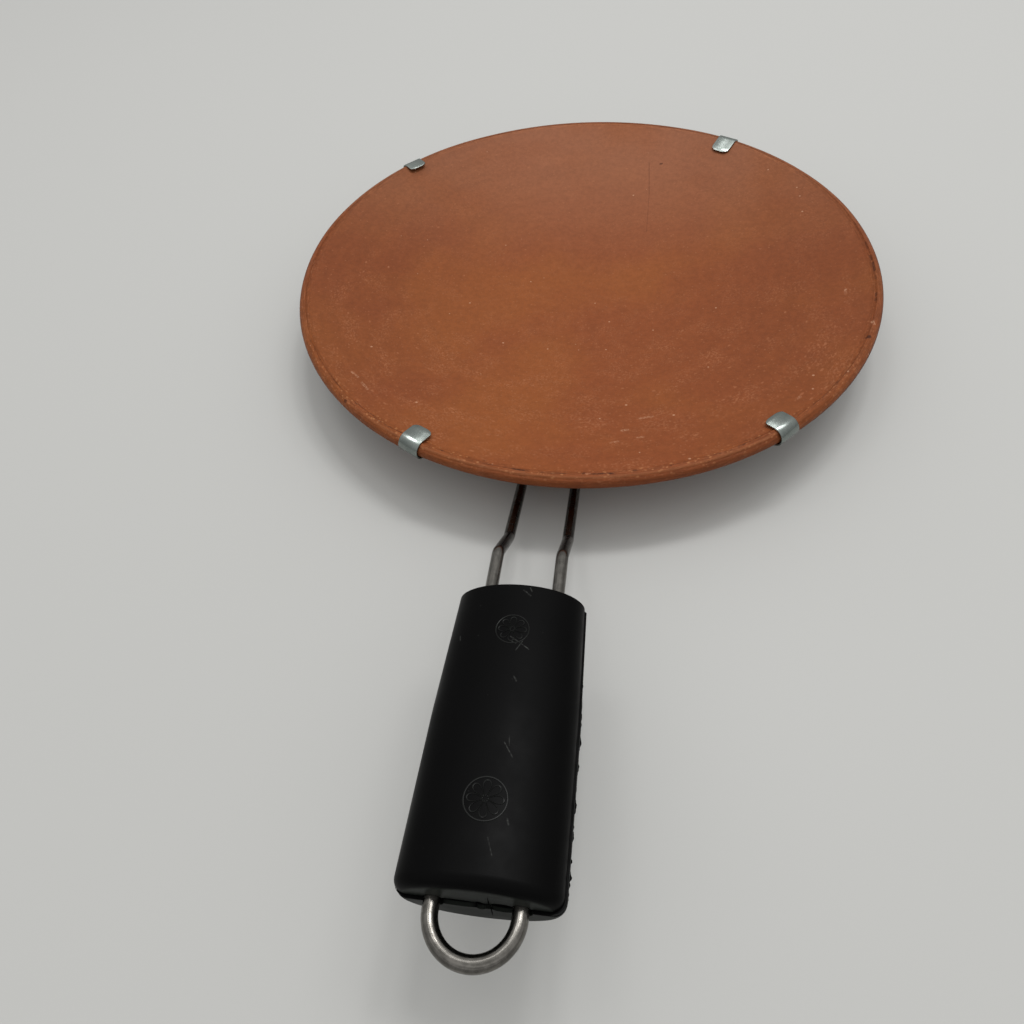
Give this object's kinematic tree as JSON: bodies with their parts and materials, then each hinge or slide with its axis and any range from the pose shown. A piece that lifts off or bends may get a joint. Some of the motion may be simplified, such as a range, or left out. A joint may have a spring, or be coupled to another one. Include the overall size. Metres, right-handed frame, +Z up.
{
  "type": "comal",
  "caption": "Shallow round clay griddle in a welded holder of steel straps and bent wire, with a moulded two-part grip and a hanging loop.",
  "frame": {"origin": "middle of the whole outline, on the surface that the comal stands on", "axes": "+Y from the handle towards the plate, +Z up, +X to the right as seen from the handle"},
  "size_m": [0.25, 0.4006, 0.0549],
  "materials": {
    "clay": "matt unglazed red clay, speckled",
    "strap_steel": "thin galvanised strip, dull grey",
    "wire_steel": "bright drawn wire",
    "grip_plastic": "black moulded plastic, scuffed",
    "screw_steel": "zinc plated"
  },
  "bodies": {
    "root": {"clay_plate": "clay", "cross_strap_lower": "strap_steel", "cross_strap_upper": "strap_steel", "handle_wire": "wire_steel", "grip_upper": "grip_plastic", "grip_lower": "grip_plastic", "grip_screws": "screw_steel"}
  },
  "joints": []
}
